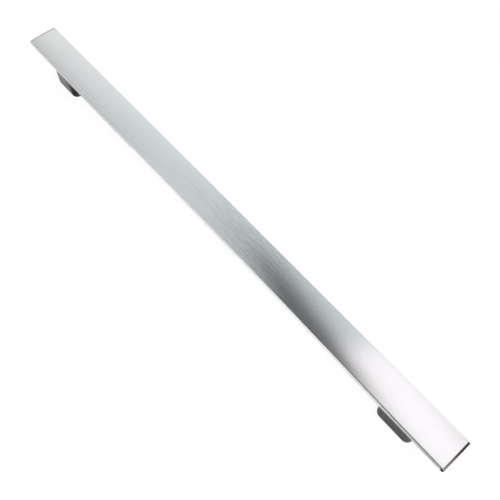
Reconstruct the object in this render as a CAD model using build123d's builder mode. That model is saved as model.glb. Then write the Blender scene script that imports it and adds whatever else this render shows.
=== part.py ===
"""Oven door handle: a slightly bowed and crowned flat bar on two standoff posts.

Millimetres. +X runs along the bar, +Z points away from the oven door, and the origin lies midway between
the two posts, in the plane of their feet.
"""

import os
from math import asin, degrees, radians, sqrt, tan

from build123d import *

# Grip bar
bar_length = 532.0
bar_width = 28.0
bar_thickness = 6.5
bar_bow = 1.75
bar_crown = 0.5
bar_end_radius = 2.0
bar_edge_radius = 0.7
bar_back_radius = 0.6

# Standoff posts
post_spacing = 445.0
post_length = 34.0
post_width = 21.0
post_height = 30.8
post_corner_radius = 5.6
post_foot_radius = 0.5
post_draft = 2.0

# Recess in the back of the bar that each post stands in
seat_depth = 0.8
seat_clearance = 0.15

# Screws that hold a post to the bar
screw_diameter = 4.0
screw_length = 20.0
screw_engagement = 3.5
screw_offset = 10.5
screw_head_diameter = 7.0
screw_head_height = 4.0
screw_edge_break = 0.3
screw_tip_chamfer = 0.5
socket_sides = 6
socket_across_flats = 3.0
socket_depth = 2.2
screw_hole_clearance = 0.25
screw_head_clearance = 0.5
tapped_hole_clearance = 0.05
tapped_hole_spare_depth = 0.5

# Tapped hole in each foot for the screw that comes through the door
door_thread_bore = 4.2
door_thread_depth = 16.0
door_thread_lead_in = 0.4
door_thread_lead_in_angle = 90.0

# Places that follow from the sizes
post_x = post_spacing / 2
post_inset = post_height * tan(radians(post_draft))
screw_x = [side * post_x + offset for side in (-1, 1) for offset in (-screw_offset, screw_offset)]
screw_head_seat = post_height + screw_engagement - screw_length
tapped_hole_radius = screw_diameter / 2 + tapped_hole_clearance
bar_end = bar_length / 2
front_bow_radius = (bar_end**2 + bar_bow**2) / (2 * bar_bow)
back_bow_radius = front_bow_radius - bar_thickness
back_middle = post_height - seat_depth + back_bow_radius - sqrt(back_bow_radius**2 - post_x**2)
back_far = back_middle - back_bow_radius + sqrt(back_bow_radius**2 - bar_length**2)
crown_radius = (bar_width**2 / 4 + bar_crown**2) / (2 * bar_crown)
crown_centre = Vector(0, 0, back_middle + bar_thickness - crown_radius)
crown_reach = asin(bar_width / crown_radius)

# Grip bar: its profile from the side, with a bowed front and rounded ends, is carried round the crown to
# both sides, in a band twice as wide as the bar. Its width and its bowed back are then cut out of that band.
with BuildPart() as grip_bar:
    with BuildSketch(Plane(crown_centre, x_dir=(1, 0, 0), z_dir=(0, -1, 0))) as profile:
        with BuildLine():
            front_end = crown_radius - bar_bow
            front = ThreePointArc((-bar_end, front_end), (0, crown_radius), (bar_end, front_end))
            Polyline(front @ 1, (bar_end, crown_radius / 2), (-bar_end, crown_radius / 2), front @ 0)
        make_face()
        fillet(profile.vertices().sort_by(Axis.Y)[-2:], bar_end_radius)
    revolve(axis=Axis(crown_centre, (1, 0, 0)), revolution_arc=degrees(crown_reach))
    mirror(about=Plane.XZ)
    with BuildSketch(Plane.XZ):
        with BuildLine():
            back = ThreePointArc((-bar_length, back_far), (0, back_middle), (bar_length, back_far))
            Polyline(back @ 1, (bar_length, 2 * post_height), (-bar_length, 2 * post_height), back @ 0)
        make_face()
    extrude(amount=bar_width / 2, both=True, mode=Mode.INTERSECT)
    sides = grip_bar.faces().sort_by(Axis.Y)
    edges = [edge for side in (sides[0], sides[-1]) for edge in side.edges().sort_by(Axis.Z)[1:]]
    fillet(edges, bar_edge_radius)
    fillet(grip_bar.faces().sort_by(Axis.Z)[0].edges(), bar_back_radius)
    with BuildSketch(Plane.XY.offset(post_height)):
        with Locations((-post_x, 0), (post_x, 0)):
            RectangleRounded(
                post_length - 2 * post_inset + 2 * seat_clearance,
                post_width - 2 * post_inset + 2 * seat_clearance,
                post_corner_radius - post_inset + seat_clearance,
            )
    extrude(amount=-bar_thickness, mode=Mode.SUBTRACT)
    with BuildSketch(Plane.XY.offset(post_height)):
        with Locations(*[(x, 0) for x in screw_x]):
            Circle(tapped_hole_radius)
    extrude(amount=screw_engagement + tapped_hole_spare_depth, mode=Mode.SUBTRACT)

# Standoff posts: they narrow toward the bar, and are bored from the foot for their screws and the door screw
posts = {}
for name, side in (("left_post", -1), ("right_post", 1)):
    with BuildPart() as post:
        with BuildSketch(Plane(origin=(side * post_x, 0, 0))):
            RectangleRounded(post_length, post_width, post_corner_radius)
        extrude(amount=post_height, taper=post_draft)
        fillet(post.faces().sort_by(Axis.Z)[0].edges(), post_foot_radius)
        foot = Plane(origin=(side * post_x, 0, 0), x_dir=(1, 0, 0), z_dir=(0, 0, -1))
        with Locations(foot):
            with Locations((-screw_offset, 0), (screw_offset, 0)):
                CounterBoreHole(
                    radius=screw_diameter / 2 + screw_hole_clearance,
                    counter_bore_radius=screw_head_diameter / 2 + screw_head_clearance,
                    counter_bore_depth=screw_head_seat,
                )
            CounterSinkHole(
                radius=door_thread_bore / 2,
                counter_sink_radius=door_thread_bore / 2 + door_thread_lead_in,
                depth=door_thread_depth,
                counter_sink_angle=door_thread_lead_in_angle,
            )
    posts[name] = post

# One socket head screw, standing on its head, with the seat of the head at the origin
with BuildPart() as screw:
    with BuildSketch(Plane.XZ):
        with BuildLine():
            Polyline(
                (0, -screw_head_height),
                (screw_head_diameter / 2 - screw_edge_break, -screw_head_height),
                (screw_head_diameter / 2, screw_edge_break - screw_head_height),
                (screw_head_diameter / 2, 0),
                (screw_diameter / 2, 0),
                (screw_diameter / 2, screw_length - screw_tip_chamfer),
                (screw_diameter / 2 - screw_tip_chamfer, screw_length),
                (0, screw_length),
                close=True,
            )
        make_face()
    revolve(axis=Axis.Z)
    with BuildSketch(Plane.XY.offset(-screw_head_height)):
        RegularPolygon(socket_across_flats / 2, socket_sides, major_radius=False)
    extrude(amount=socket_depth, mode=Mode.SUBTRACT)

# Post screws: the same screw in each of the four holes
with BuildPart() as post_screws:
    with Locations(*[(x, 0, screw_head_seat) for x in screw_x]):
        add(screw.part)

os.makedirs("parts", exist_ok=True)
for name, piece in {"grip_bar": grip_bar, **posts, "post_screws": post_screws}.items():
    piece.part.label = name
    export_step(piece.part, f"parts/{name}.step")
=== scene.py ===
"""Looks of the oven door handle: a brushed metal bar on satin dark posts, on a white studio floor.

Metres, in the frame of the solids: +X runs along the bar, +Z points away from the oven door.
"""

from math import copysign, cos, pi, radians, sin, sqrt

import bmesh
import bpy
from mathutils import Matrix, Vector


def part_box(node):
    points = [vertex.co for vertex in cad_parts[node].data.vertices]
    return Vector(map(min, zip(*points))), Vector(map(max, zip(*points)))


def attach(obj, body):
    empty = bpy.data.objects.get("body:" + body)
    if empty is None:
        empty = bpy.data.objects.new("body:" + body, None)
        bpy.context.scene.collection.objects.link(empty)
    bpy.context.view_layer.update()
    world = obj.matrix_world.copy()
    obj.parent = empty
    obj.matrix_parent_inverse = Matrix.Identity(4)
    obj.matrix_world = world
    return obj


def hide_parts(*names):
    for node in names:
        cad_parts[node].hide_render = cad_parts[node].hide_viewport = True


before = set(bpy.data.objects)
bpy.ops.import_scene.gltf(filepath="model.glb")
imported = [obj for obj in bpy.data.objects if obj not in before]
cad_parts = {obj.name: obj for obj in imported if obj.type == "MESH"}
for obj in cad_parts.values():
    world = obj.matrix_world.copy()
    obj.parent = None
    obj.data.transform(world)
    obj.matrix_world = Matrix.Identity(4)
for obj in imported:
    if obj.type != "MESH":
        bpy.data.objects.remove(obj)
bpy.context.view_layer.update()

# Grip bar: sizes that its box doesn't give
BAR_THICKNESS = 0.0065
BAR_BOW = 0.00175
BAR_CROWN = 0.0005
END_RADIUS = 0.002
EDGE_RADIUS = 0.0007
BACK_RADIUS = 0.0006

# Recesses in the back of the bar, for the posts and their screws
POST_TOP_LENGTH = 0.03185
POST_TOP_WIDTH = 0.01885
POST_TOP_RADIUS = 0.00452
SEAT_CLEARANCE = 0.00015
SCREW_OFFSET = 0.0105
SCREW_HOLE_RADIUS = 0.00205
SCREW_HOLE_DEPTH = 0.004

# Fineness of the bar's mesh
LENGTH_STEPS = 132
WIDTH_STEPS = 14
ROUND_STEPS = 10
ROUND_MARGIN = 0.0002
SHARP_ANGLE = radians(35)

# Most of a noise's values lie in this range
NOISE_RANGE = (0.3, 0.7)

# Brushed metal: streaks of two sizes, given as length, width and detail
FINE_STREAKS = (0.03, 0.0003, 2.0)
BROAD_STREAKS = (0.028, 0.00065, 3.0)
FINE_SHARE_OF_HEIGHT = 0.15
STREAK_HEIGHT = 0.00006
METAL_LEVELS = (0.76, 0.82)
METAL_ROUGHNESS = (0.13, 0.17)
BRUSH_STRETCH = 0.6

# The streaks are deepest round the middle of the bar. A ramp, here and below, has a start, an end and,
# where it doesn't go from 0 to 1, the values before and after.
DEPTH_RISE_ON_LEFT = (-0.1, -0.02, 0.7, 2.4)
DEPTH_FALL_ON_RIGHT = (0.0, 0.12, 1.0, 0.13)

# Satin paint of the posts: noises are given as scale and detail
PAINT_CLOUDS = (90.0, 3.0)
PAINT_LEVELS = (0.030, 0.038)
PAINT_TINT = (1, 1, 1.04)
PAINT_ROUGHNESS = (0.19, 0.25)
PAINT_PEEL = (1400.0, 2.0)
PEEL_HEIGHT = 0.000008

# Zinc-grey steel of the screws
STEEL_CLOUDS = (700.0, 3.0)
STEEL_LEVELS = (0.44, 0.56)
STEEL_TINT = (1, 1, 1.03)
STEEL_ROUGHNESS = (0.28, 0.45)

# Floor, and how much of its brightness is its own, to the camera and in metal
FLOOR_SIZE = 6.0
FLOOR_DROP = 0.0001
FLOOR_LEVEL = 0.9
FLOOR_GLOW = 0.9
FLOOR_GLOW_IN_METAL = 0.5

# Studio cards, which only metal shows: their colours are painted shade and painted reflections
CARD_RISE = 0.0002
CARD_ROUGHNESS = 0.9
END_CARD_SIDES = (-0.018, 0.034)
END_CARD_FOOT = 0.034

# Colour casts in the room
PLAIN = (1, 1, 1)
ROSY = (1.035, 1, 1.03)
COOL = (0.985, 1, 1.01)
COLD = (0.935, 1, 1.025)
BLUE = (0.92, 0.97, 1.14)
YELLOW = (1, 1, 0.94)
WARM = (1.06, 1, 0.97)
BROWN = (1.1, 1, 0.97)
RUSTY = (1.15, 1, 0.95)

# Room as metal shows it, by u and v: where a direction meets a ceiling that lies 1 above, in x and in y.
# A direction that rises less than the lowest rise is taken to rise by that much.
ROOM_LIGHT = 1.27
LOWEST_RISE = 0.04

# Pale wall on the left, with a darker foot
WALL_LEVEL = 0.402
WALL_SLOPES = (-0.13, 0.376)
WALL_LIMITS = (0.5, 0.75)
WALL_FOOT_BY_U = (-1.16, -1.0, 0.19, 0.09)
WALL_FOOT_BY_V = (0.17, 0.3, 1.0, 0.0)
WALL_TINT_BY_U = (-1.06, -0.76)
WALL_TINT_BY_V = (-0.1, 0.1)

# Bright panel overhead, with edges to the left and toward the viewer, duller on its far side and its right
PANEL_LEFT_EDGE = (-0.147, -0.137)
PANEL_LEFT_SLANT = -0.063
PANEL_FRONT_EDGE = (0.106, 0.129)
PANEL_LEVELS = (0.47, 0.65, 0.975, 0.79)
PANEL_LEVELS_SLANT = 1.1

# Soft dark flags between the panel and the wall: centre, size, tilt and how much light they take
SOFT_FLAGS = (
    ((-0.114, 0.167), (0.059, 0.124), 0.797, 1.0),
    ((-0.282, 0.243), (0.12, 0.257), 0.507, 0.83),
)

# Dark flag in front, between two sides given by the direction's own x
FRONT_FLAG_SIDES = (-0.21, 0.18)
FRONT_FLAG_BLUR = 0.055
FRONT_FLAG_TOP = (-0.36, -0.12, 1.0, 0.0)
FRONT_FLAG_TOP_SLANT = 2.0
FRONT_FLAG_TOP_SLANT_END = 0.03
FRONT_FLAG_FOOT = (-2.6, -1.6)
FRONT_FLAG_SHARE = 0.9

# Pale patch low on the left, beside the soft flags
PATCH_LEVEL = 0.85
PATCH_LEFT = (-0.85, -0.6)
PATCH_RIGHT = (-0.36, -0.26, 1.0, 0.0)
PATCH_TOP = (0.08, 0.24, 0.6, 0.0)

# Lamp overhead
LAMP_PLACE = (0.35, -0.3, 1.15)
LAMP_SIZE = 0.9
LAMP_POWER = 13.0

# Camera at the photograph's viewpoint
CAMERA_PLACE = (0.22211, -0.14382, 0.46585)
CAMERA_ANGLES = (27.147, 0.593, 49.066)
CAMERA_LENS = 43.244
CAMERA_CLIP_START = 0.01
SENSOR_WIDTH = 36.0

# Sizes that follow from the bar's box and the values above
bar_low, bar_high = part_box("grip_bar")
bar_length = bar_high.x - bar_low.x
bar_width = bar_high.y - bar_low.y
bow_radius = (bar_length**2 / 4 + BAR_BOW**2) / (2 * BAR_BOW)
crown_radius = (bar_width**2 / 4 + BAR_CROWN**2) / (2 * BAR_CROWN)


def drop(offset, radius):
    """How far an arc of this radius has fallen at an offset from its top."""
    return radius - sqrt(radius**2 - offset**2)


def front_height(x, y):
    return bar_high.z - drop(x, bow_radius) - drop(y, crown_radius)


def back_height(x):
    return bar_high.z - BAR_THICKNESS - drop(x, bow_radius)


def spaced(start, end, steps):
    return [start + (end - start) * i / steps for i in range(steps + 1)]


def bar_rows():
    """(y, inset) of the rows that run along the bar, from +Y to -Y.

    The inset is what the edge rounding takes off.
    """
    turns = spaced(pi / 2, 0, ROUND_STEPS)
    edge = [(bar_width / 2 - EDGE_RADIUS * (1 - sin(a)), EDGE_RADIUS * (1 - cos(a))) for a in turns]
    inner = edge[-1][0] - ROUND_MARGIN
    face = [(y, 0.0) for y in spaced(inner, -inner, WIDTH_STEPS)]
    return edge + face + [(-y, inset) for y, inset in reversed(edge)]


def bar_line(y, inset):
    """A row's points over the rounding of the +X end, the front and the rounding of the -X end."""
    centre = bar_length / 2 - END_RADIUS
    radius = END_RADIUS - inset
    height = front_height(centre, y) - END_RADIUS
    turns = spaced(0, pi / 2, ROUND_STEPS)
    right = [(centre + radius * cos(a), y, height + radius * sin(a)) for a in turns]
    stations = spaced(centre - ROUND_MARGIN, ROUND_MARGIN - centre, LENGTH_STEPS)
    front = [(x, y, front_height(x, y) - inset) for x in stations]
    return right + front + [(-x, y, z) for x, y, z in reversed(right)]


def flip(outline, axis):
    """An outline's points and directions on the other side of the middle."""
    turn = Vector((-1, 1)) if axis == "x" else Vector((1, -1))
    return [(point * turn, out * turn) for point, out in outline]


def bar_outline(rows, line):
    """(point, outward direction) once round the bar.

    It starts at -Y, goes over the +X end to +Y and comes back over the -X end.
    """
    end = []
    for y, inset in reversed(rows):
        lean = 1 - inset / EDGE_RADIUS
        out = Vector((lean, copysign(sqrt(1 - lean**2), y)))
        end.append((Vector((bar_length / 2 - inset, y)), out))
    side = [(Vector((x, bar_width / 2)), Vector((0, 1))) for x, y, z in line[1:-1]]
    return end + side + flip(end, "x")[::-1] + flip(side, "y")[::-1]


def around(lines):
    """The border of a grid of rows, in the order of the bar's outline."""
    right = [line[0] for line in reversed(lines)]
    left = [line[-1] for line in lines]
    return right + lines[0][1:-1] + left + lines[-1][-2:0:-1]


def back_ring_point(point, out, step):
    """A point of the back rounding. Step 0 lies on the side, and the last step on the back."""
    angle = pi / 2 * (1 - step / ROUND_STEPS)
    place = point - BACK_RADIUS * (1 - sin(angle)) * out
    return (*place, back_height(place.x) + BACK_RADIUS * (1 - cos(angle)))


def bridge(mesh, upper, lower):
    """Faces between two rings of as many points."""
    for i, vertex in enumerate(upper):
        after = (i + 1) % len(upper)
        mesh.faces.new((vertex, lower[i], lower[after], upper[after]))


def grid(mesh, lines):
    """Faces between neighbouring rows of as many points."""
    for near, far in zip(lines, lines[1:]):
        for j in range(len(near) - 1):
            mesh.faces.new((near[j], near[j + 1], far[j + 1], far[j]))


def close_back(mesh, ring, rows, count):
    """The back face inside its ring: a grid whose lines run across the bar."""
    ends = len(rows)
    right, side = ring[:ends][::-1], ring[ends:ends + count]
    left, other = ring[ends + count:2 * ends + count], ring[2 * ends + count:][::-1]
    shares = [y / rows[0][0] for y, inset in rows[1:-1]]
    lines = [right]
    for top, bottom in zip(side, other):
        x, y, z = top.co
        middle = [mesh.verts.new((x, y * share, back_height(x))) for share in shares]
        lines.append([top, *middle, bottom])
    grid(mesh, lines + [left])


def mesh_object(name, mesh):
    """A new object from a bmesh, smooth all over."""
    data = bpy.data.meshes.new(name)
    bmesh.ops.recalc_face_normals(mesh, faces=mesh.faces)
    mesh.to_mesh(data)
    mesh.free()
    data.shade_smooth()
    made = bpy.data.objects.new(name, data)
    bpy.context.scene.collection.objects.link(made)
    return made


def bar_body():
    """The bar before its recesses are cut."""
    mesh = bmesh.new()
    rows = bar_rows()
    lines = [[mesh.verts.new(place) for place in bar_line(*row)] for row in rows]
    outline = bar_outline(rows, bar_line(*rows[0]))
    rings = [around(lines)]
    for step in range(ROUND_STEPS + 1):
        rings.append([mesh.verts.new(back_ring_point(point, out, step)) for point, out in outline])
    grid(mesh, lines)
    for upper, lower in zip(rings, rings[1:]):
        bridge(mesh, upper, lower)
    close_back(mesh, rings[-1], rows, len(lines[0]) - 2)
    return mesh_object("bar_body", mesh)


def rounded_rectangle(length, width, radius):
    """Points once round a rectangle with rounded corners, about the origin."""
    turns = [radius * Vector((cos(a), sin(a))) for a in spaced(0, pi / 2, ROUND_STEPS)]
    corner = [(Vector((length / 2 - radius, width / 2 - radius)) + turn, turn) for turn in turns]
    half = corner + flip(corner, "x")[::-1]
    return [point for point, out in half + flip(half, "y")[::-1]]


def upright(mesh, outline, low, high):
    """An upright prism over an outline of points."""
    floor, roof = ([mesh.verts.new((point.x, point.y, z)) for point in outline] for z in (low, high))
    bridge(mesh, roof, floor)
    mesh.faces.new(roof)
    mesh.faces.new(floor[::-1])


def recesses():
    """What is cut from the back of the bar: a seat for each post, and two blind holes over each seat."""
    seats, holes = bmesh.new(), bmesh.new()
    seat = rounded_rectangle(
        POST_TOP_LENGTH + 2 * SEAT_CLEARANCE,
        POST_TOP_WIDTH + 2 * SEAT_CLEARANCE,
        POST_TOP_RADIUS + SEAT_CLEARANCE,
    )
    turns = spaced(0, 2 * pi, 4 * ROUND_STEPS)[:-1]
    for post in ("left_post", "right_post"):
        low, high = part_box(post)
        middle = (low + high) / 2
        upright(seats, [middle.xy + point for point in seat], high.z - BAR_THICKNESS, high.z)
        for offset in (-SCREW_OFFSET, SCREW_OFFSET):
            centre = middle.xy + Vector((offset, 0))
            circle = [centre + SCREW_HOLE_RADIUS * Vector((cos(a), sin(a))) for a in turns]
            upright(holes, circle, high.z - SCREW_HOLE_DEPTH, high.z + SCREW_HOLE_DEPTH)
    return mesh_object("seats", seats), mesh_object("screw_holes", holes)


def grip_bar():
    """The finely meshed bar that stands for the solid one."""
    body = bar_body()
    cutters = recesses()
    for cutter in cutters:
        cut = body.modifiers.new(cutter.name, "BOOLEAN")
        cut.operation = "DIFFERENCE"
        cut.solver = "EXACT"
        cut.object = cutter
    graph = bpy.context.evaluated_depsgraph_get()
    data = bpy.data.meshes.new_from_object(body.evaluated_get(graph))
    data.name = "grip_bar_fine"
    data.set_sharp_from_angle(angle=SHARP_ANGLE)
    for spare in (body, *cutters):
        bpy.data.objects.remove(spare)
    bar = bpy.data.objects.new("grip_bar_fine", data)
    bpy.context.scene.collection.objects.link(bar)
    return bar


def fill(tree, node, inputs):
    """Sets a node's inputs, given by name or number, to values, or links them to sockets or Numbers."""
    for key, value in inputs.items():
        value = getattr(value, "socket", value)
        if isinstance(value, bpy.types.NodeSocket):
            tree.links.new(value, node.inputs[key])
        else:
            node.inputs[key].default_value = value


def add(tree, kind, inputs, **settings):
    """A new node with its settings and inputs."""
    node = tree.nodes.new("ShaderNode" + kind)
    for key, value in settings.items():
        setattr(node, key, value)
    fill(tree, node, inputs)
    return node


class Number:
    """A number that shader nodes work out, for use in plain formulas."""

    def __init__(self, tree, socket):
        self.tree = tree
        self.socket = socket

    def math(self, operation, *others):
        inputs = dict(enumerate((self, *others)))
        return Number(self.tree, add(self.tree, "Math", inputs, operation=operation).outputs[0])

    def __add__(self, other):
        return self.math("ADD", other)

    def __mul__(self, other):
        return self.math("MULTIPLY", other)

    def __truediv__(self, other):
        return self.math("DIVIDE", other)

    def __sub__(self, other):
        return self.math("SUBTRACT", other)

    def __rsub__(self, other):
        return self * -1.0 + other

    def clamp(self, low, high):
        return self.math("MAXIMUM", low).math("MINIMUM", high)

    def ramp(self, start, end, before=0.0, after=1.0):
        """A smooth change from one value to another while this number goes from start to end."""
        inputs = {"Value": self, "From Min": start, "From Max": end, "To Min": before, "To Max": after}
        node = add(self.tree, "MapRange", inputs, interpolation_type="SMOOTHSTEP")
        return Number(self.tree, node.outputs[0])

    def between(self, low, high, blur):
        """1 while this number lies between two limits, fading to 0 round each of them."""
        return self.ramp(low - blur, low + blur) * self.ramp(high - blur, high + blur, 1.0, 0.0)

    def mix(self, first, second):
        """A mix of two numbers, with this one as the share of the second."""
        return Number(self.tree, add(self.tree, "Mix", {0: self, 2: first, 3: second}).outputs[0])

    def mix_colours(self, first, second):
        """A mix of two colours, with this number as the share of the second."""
        return add(self.tree, "Mix", {0: self, 6: first, 7: second}, data_type="RGBA").outputs[2]


def grey(level, tint=PLAIN):
    return (*(level * part for part in tint), 1)


def numbers(tree, vector):
    """The x, y and z of a vector."""
    return [Number(tree, part) for part in add(tree, "SeparateXYZ", {0: vector}).outputs]


def object_place(tree):
    return add(tree, "TexCoord", {}).outputs["Object"]


def noise(tree, place, scale, detail):
    inputs = {"Vector": place, "Scale": scale, "Detail": detail}
    return Number(tree, add(tree, "TexNoise", inputs).outputs["Fac"])


def streaks(tree, place, length, width, detail):
    """Noise drawn out along the bar, in streaks of about that length and width."""
    scale = (1 / length, 1 / width, 1 / width)
    stretched = add(tree, "Mapping", {"Vector": place, "Scale": scale}).outputs[0]
    return noise(tree, stretched, 1.0, detail)


def bumps(tree, height, distance):
    return add(tree, "Bump", {"Height": height, "Strength": 1.0, "Distance": distance}).outputs[0]


def material(name):
    """A new material, its node tree and its Principled shader."""
    made = bpy.data.materials.new(name)
    made.use_nodes = True
    return made, made.node_tree, made.node_tree.nodes["Principled BSDF"]


def brushed_metal():
    """Bright metal with streaks along the bar in its colour, its roughness and its height."""
    made, tree, shader = material("brushed_metal")
    place = object_place(tree)
    fine = streaks(tree, place, *FINE_STREAKS)
    broad = streaks(tree, place, *BROAD_STREAKS)
    along = numbers(tree, place)[0]
    depth = along.ramp(*DEPTH_RISE_ON_LEFT) * along.ramp(*DEPTH_FALL_ON_RIGHT)
    height = (fine * FINE_SHARE_OF_HEIGHT + broad) * depth
    dark, bright = METAL_LEVELS
    fill(tree, shader, {
        "Base Color": fine.mix_colours(grey(dark), grey(bright)),
        "Roughness": fine.ramp(*NOISE_RANGE, *METAL_ROUGHNESS),
        "Metallic": 1.0,
        "Anisotropic": BRUSH_STRETCH,
        "Tangent": add(tree, "Tangent", {}, direction_type="RADIAL", axis="X").outputs[0],
        "Normal": bumps(tree, height, STREAK_HEIGHT),
    })
    return made


def satin_paint():
    """Dark paint, a little cloudy, with a fine orange peel."""
    made, tree, shader = material("satin_paint")
    place = object_place(tree)
    cloud = noise(tree, place, *PAINT_CLOUDS)
    peel = noise(tree, place, *PAINT_PEEL)
    dark, bright = PAINT_LEVELS
    fill(tree, shader, {
        "Base Color": cloud.mix_colours(grey(dark, PAINT_TINT), grey(bright, PAINT_TINT)),
        "Roughness": cloud.ramp(*NOISE_RANGE, *PAINT_ROUGHNESS),
        "Normal": bumps(tree, peel, PEEL_HEIGHT),
    })
    return made


def screw_steel():
    """Grey steel with a cloudy zinc coat."""
    made, tree, shader = material("screw_steel_zinc")
    cloud = noise(tree, object_place(tree), *STEEL_CLOUDS)
    dark, bright = STEEL_LEVELS
    fill(tree, shader, {
        "Base Color": cloud.mix_colours(grey(dark, STEEL_TINT), grey(bright, STEEL_TINT)),
        "Roughness": cloud.ramp(*NOISE_RANGE, *STEEL_ROUGHNESS),
        "Metallic": 1.0,
    })
    return made


def dress(piece, made):
    piece.data.materials.clear()
    piece.data.materials.append(made)


def studio_floor():
    """A white floor that stays white to the camera, apart from a faint shadow.

    In metal it shows more of its shading.
    """
    bpy.ops.mesh.primitive_plane_add(size=FLOOR_SIZE, location=(0, 0, -FLOOR_DROP))
    floor = bpy.context.object
    floor.name = "studio_floor"
    made, tree, shader = material("studio_white")
    tree.nodes.remove(shader)
    matt = add(tree, "BsdfDiffuse", {"Color": grey(FLOOR_LEVEL)}).outputs[0]
    glow = add(tree, "Emission", {"Color": grey(1.0), "Strength": 1.0}).outputs[0]
    path = add(tree, "LightPath", {}).outputs
    seen = Number(tree, path["Is Camera Ray"]).math("MAXIMUM", path["Is Transmission Ray"])
    in_metal = Number(tree, path["Is Glossy Ray"]) * FLOOR_GLOW_IN_METAL
    share = (seen * FLOOR_GLOW).math("MAXIMUM", in_metal)
    mixed = add(tree, "MixShader", {0: share, 1: matt, 2: glow}).outputs[0]
    fill(tree, tree.nodes["Material Output"], {"Surface": mixed})
    dress(floor, made)


# Directions along which a card's colour changes. The last one crosses the floor at a slant.
X = (1, 0, 0)
Y = (0, 1, 0)
Z = (0, 0, 1)
SLANT = (1, -3.4, 0)

# Cards on the floor that only metal shows: two opposite corners, a colour, and the steps in which it
# changes. A step has a direction, where along it the change starts and ends, and the colour after it.
# Their greys are painted shade of the floor round the bar and painted dark reflections, not the floor's
# own colour.
SHADE_AND_REFLECTION_CARDS = {
    # Beyond the right end: dark, with a paler stripe in line with the bar, a painted dark reflection in
    # the bar's right end
    "card_right": ((0.2665, -0.3), (0.6, 0.3), grey(0.03), (
        (Y, -0.012, -0.004, grey(0.42, WARM)),
        (Y, 0.0, 0.03, grey(0.015, BROWN)),
    )),
    # In front of the bar's middle and right: pale, but at the right end grey beside it, painted shade on
    # the floor by the right post, and dark beyond, a painted dark reflection
    "card_front": ((-0.04, -0.4), (0.2665, -0.021), grey(0.88), (
        (X, 0.195, 0.225, grey(0.62)),
        (X, 0.235, 0.255, grey(0.5)),
        (Y, -0.025, -0.032, grey(0.1)),
        (X, 0.2, 0.15, grey(0.72)),
        (X, 0.16, 0.09, grey(0.8)),
    )),
    # Under the bar, round the right post: painted shade of the floor beneath the bar
    "card_under": ((0.17, -0.021), (0.264, 0.02), grey(0.45, YELLOW), (
        (X, 0.18, 0.205, grey(0.42)),
        (X, 0.232, 0.25, grey(0.45, BLUE)),
    )),
    # In front of the bar's left: painted shade of the floor, darker toward the left end
    "card_left": ((-0.6, -0.4), (-0.04, -0.0205), grey(0.66), (
        (X, -0.25, -0.04, grey(0.8)),
    )),
    # Under the bar, round the left post, painted shade of the floor beneath the bar: pale, and dark to the
    # right of the post
    "card_left_post": ((-0.29, -0.0205), (-0.12, 0.012), grey(0.7), (
        (Y, -0.0205, -0.0125, grey(0.9)),
        (SLANT, -0.181, -0.166, grey(0.03)),
    )),
    # Beyond the left end: dark, a painted dark reflection in the bar's left end
    "card_left_end": ((-0.6, -0.0135), (-0.29, 0.3), grey(0.04), (
        (X, -0.45, -0.27, grey(0.08)),
    )),
}

# Cards that stand just beyond the bar's ends and glow, though they are no lamps, and that only metal
# shows: place, height, colour and steps. They paint the reflections in the bar's ends: dark at the foot,
# going over to the colour of the room behind them.
GLOWING_REFLECTION_CARDS = {
    "card_end_right": (0.275, 0.09, grey(0.3, RUSTY), (
        (Y, -0.012, 0.012, grey(0.05, RUSTY)),
        (Z, 0.057, 0.09, grey(1.0, ROSY)),
    )),
    "card_end_left": (-0.285, 0.0525, grey(0.09), (
        (Z, 0.0465, 0.0525, grey(0.85, COOL)),
    )),
}


def graded(tree, colour, steps):
    """A colour that changes in steps by the place in the room."""
    place = add(tree, "NewGeometry", {}).outputs["Position"]
    for direction, start, end, after in steps:
        dot = add(tree, "VectorMath", {0: place, 1: direction}, operation="DOT_PRODUCT")
        colour = Number(tree, dot.outputs["Value"]).ramp(start, end).mix_colours(colour, after)
    return colour


def card_paint(name, colour, steps):
    """A matt material in a graded colour, for painted shade and painted reflections."""
    made, tree, shader = material(name)
    fill(tree, shader, {
        "Base Color": graded(tree, colour, steps),
        "Roughness": CARD_ROUGHNESS,
        "Specular IOR Level": 0.0,
    })
    return made


def card_light(name, colour, steps):
    """A material that glows in a graded colour, for painted reflections."""
    made, tree, shader = material(name)
    tree.nodes.remove(shader)
    glow = add(tree, "Emission", {"Color": graded(tree, colour, steps)}).outputs[0]
    fill(tree, tree.nodes["Material Output"], {"Surface": glow})
    return made


def lying(low, high):
    """Corners of a card that lies on the floor between two of them."""
    (left, front), (right, back) = low, high
    return [(x, y, CARD_RISE) for x, y in ((left, front), (right, front), (right, back), (left, back))]


def standing(x, height):
    """Corners of a card that stands across an end of the bar, from the bar's middle height up."""
    near, far = END_CARD_SIDES
    return [(x, near, END_CARD_FOOT), (x, far, END_CARD_FOOT), (x, far, height), (x, near, height)]


def studio_card(name, corners, made):
    """A flat card that only metal shows."""
    data = bpy.data.meshes.new(name)
    data.from_pydata(corners, [], [(0, 1, 2, 3)])
    card = bpy.data.objects.new(name, data)
    bpy.context.scene.collection.objects.link(card)
    dress(card, made)
    card.visible_camera = False
    card.visible_diffuse = False
    card.visible_shadow = False
    card.visible_transmission = False


def studio_cards():
    for name, (low, high, colour, steps) in SHADE_AND_REFLECTION_CARDS.items():
        studio_card(name, lying(low, high), card_paint(name, colour, steps))
    for name, (x, height, colour, steps) in GLOWING_REFLECTION_CARDS.items():
        studio_card(name, standing(x, height), card_light(name, colour, steps))


def wall_level(u, v):
    slope_u, slope_v = WALL_SLOPES
    wall = (u * slope_u + v * slope_v + WALL_LEVEL).clamp(*WALL_LIMITS)
    return wall * (1 - u.ramp(*WALL_FOOT_BY_U) * v.ramp(*WALL_FOOT_BY_V))


def wall_tint(u, v):
    tint = u.ramp(*WALL_TINT_BY_U).mix_colours(grey(1.0, COOL), grey(1.0, COLD))
    return v.ramp(*WALL_TINT_BY_V).mix_colours(grey(1.0), tint)


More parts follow.
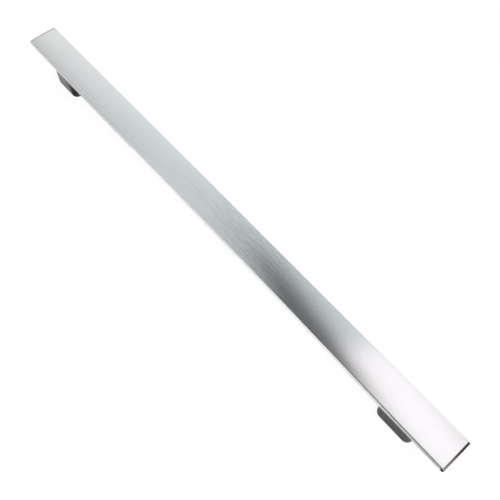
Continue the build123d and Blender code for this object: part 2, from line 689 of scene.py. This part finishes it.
def panel_share(u, v):
    """1 on the panel, 0 beside it."""
    return (u + v * PANEL_LEFT_SLANT).ramp(*PANEL_LEFT_EDGE) * v.ramp(*PANEL_FRONT_EDGE)


def panel_level(u, v):
    return (v + u.math("MAXIMUM", 0.0) * PANEL_LEVELS_SLANT).ramp(*PANEL_LEVELS)


def soft_flag(u, v, centre, size, tilt, share):
    """The share of light that a soft ellipse takes: most at its centre, fading outwards."""
    du = u - centre[0]
    dv = v - centre[1]
    along = (du * cos(tilt) + dv * sin(tilt)) / size[0]
    across = (dv * cos(tilt) - du * sin(tilt)) / size[1]
    return ((along * along + across * across) * -1.0).math("EXPONENT") * share


def front_flag(x, u, v):
    """The share of light that the flag in front takes."""
    top = v + u.math("MINIMUM", FRONT_FLAG_TOP_SLANT_END) * FRONT_FLAG_TOP_SLANT
    flag = x.between(*FRONT_FLAG_SIDES, FRONT_FLAG_BLUR) * top.ramp(*FRONT_FLAG_TOP)
    return flag * v.ramp(*FRONT_FLAG_FOOT) * FRONT_FLAG_SHARE


def pale_patch(u, v):
    return u.ramp(*PATCH_LEFT) * u.ramp(*PATCH_RIGHT) * v.ramp(*PATCH_TOP)


def studio_world():
    """The room as metal shows it: a panel overhead, a wall on the left, dark flags and a pale patch.

    To the camera it is plain white.
    """
    world = bpy.data.worlds.new("studio_world")
    world.use_nodes = True
    bpy.context.scene.world = world
    tree = world.node_tree
    x, y, z = numbers(tree, add(tree, "TexCoord", {}).outputs["Generated"])
    rise = z.math("MAXIMUM", LOWEST_RISE)
    u = x / rise
    v = y / rise
    panel = panel_share(u, v)
    level = panel.mix(wall_level(u, v), panel_level(u, v))
    for flag in SOFT_FLAGS:
        level = level * (1 - soft_flag(u, v, *flag))
    level = level * (1 - front_flag(x, u, v))
    level = pale_patch(u, v).mix(level, PATCH_LEVEL)
    tint = panel.mix_colours(wall_tint(u, v), grey(1.0, ROSY))
    room = add(tree, "Background", {"Color": tint, "Strength": level * ROOM_LIGHT}).outputs[0]
    white = add(tree, "Background", {"Color": grey(1.0), "Strength": 1.0}).outputs[0]
    camera_ray = add(tree, "LightPath", {}).outputs["Is Camera Ray"]
    mixed = add(tree, "MixShader", {0: camera_ray, 1: room, 2: white}).outputs[0]
    fill(tree, tree.nodes["World Output"], {"Surface": mixed})


def studio_lamp():
    """A large soft lamp overhead that points at the origin, for the shadow."""
    light = bpy.data.lights.new("overhead", "AREA")
    light.shape = "SQUARE"
    light.size = LAMP_SIZE
    light.energy = LAMP_POWER
    lamp = bpy.data.objects.new("overhead", light)
    lamp.location = LAMP_PLACE
    lamp.rotation_euler = (-lamp.location).to_track_quat("-Z", "Y").to_euler()
    lamp.visible_glossy = False
    bpy.context.scene.collection.objects.link(lamp)


def photo_camera():
    view = bpy.data.cameras.new("photo_camera")
    view.lens = CAMERA_LENS
    view.sensor_width = SENSOR_WIDTH
    view.clip_start = CAMERA_CLIP_START
    camera = bpy.data.objects.new("photo_camera", view)
    camera.location = CAMERA_PLACE
    camera.rotation_euler = [radians(angle) for angle in CAMERA_ANGLES]
    bpy.context.scene.collection.objects.link(camera)
    bpy.context.scene.camera = camera


bar = grip_bar()
dress(bar, brushed_metal())
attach(bar, "root")
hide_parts("grip_bar")

paint = satin_paint()
for post in ("left_post", "right_post"):
    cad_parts[post].material_slots[0].material = paint
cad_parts["post_screws"].material_slots[0].material = screw_steel()

studio_floor()
studio_cards()
studio_world()
studio_lamp()
photo_camera()
bpy.context.scene.view_settings.view_transform = "Standard"
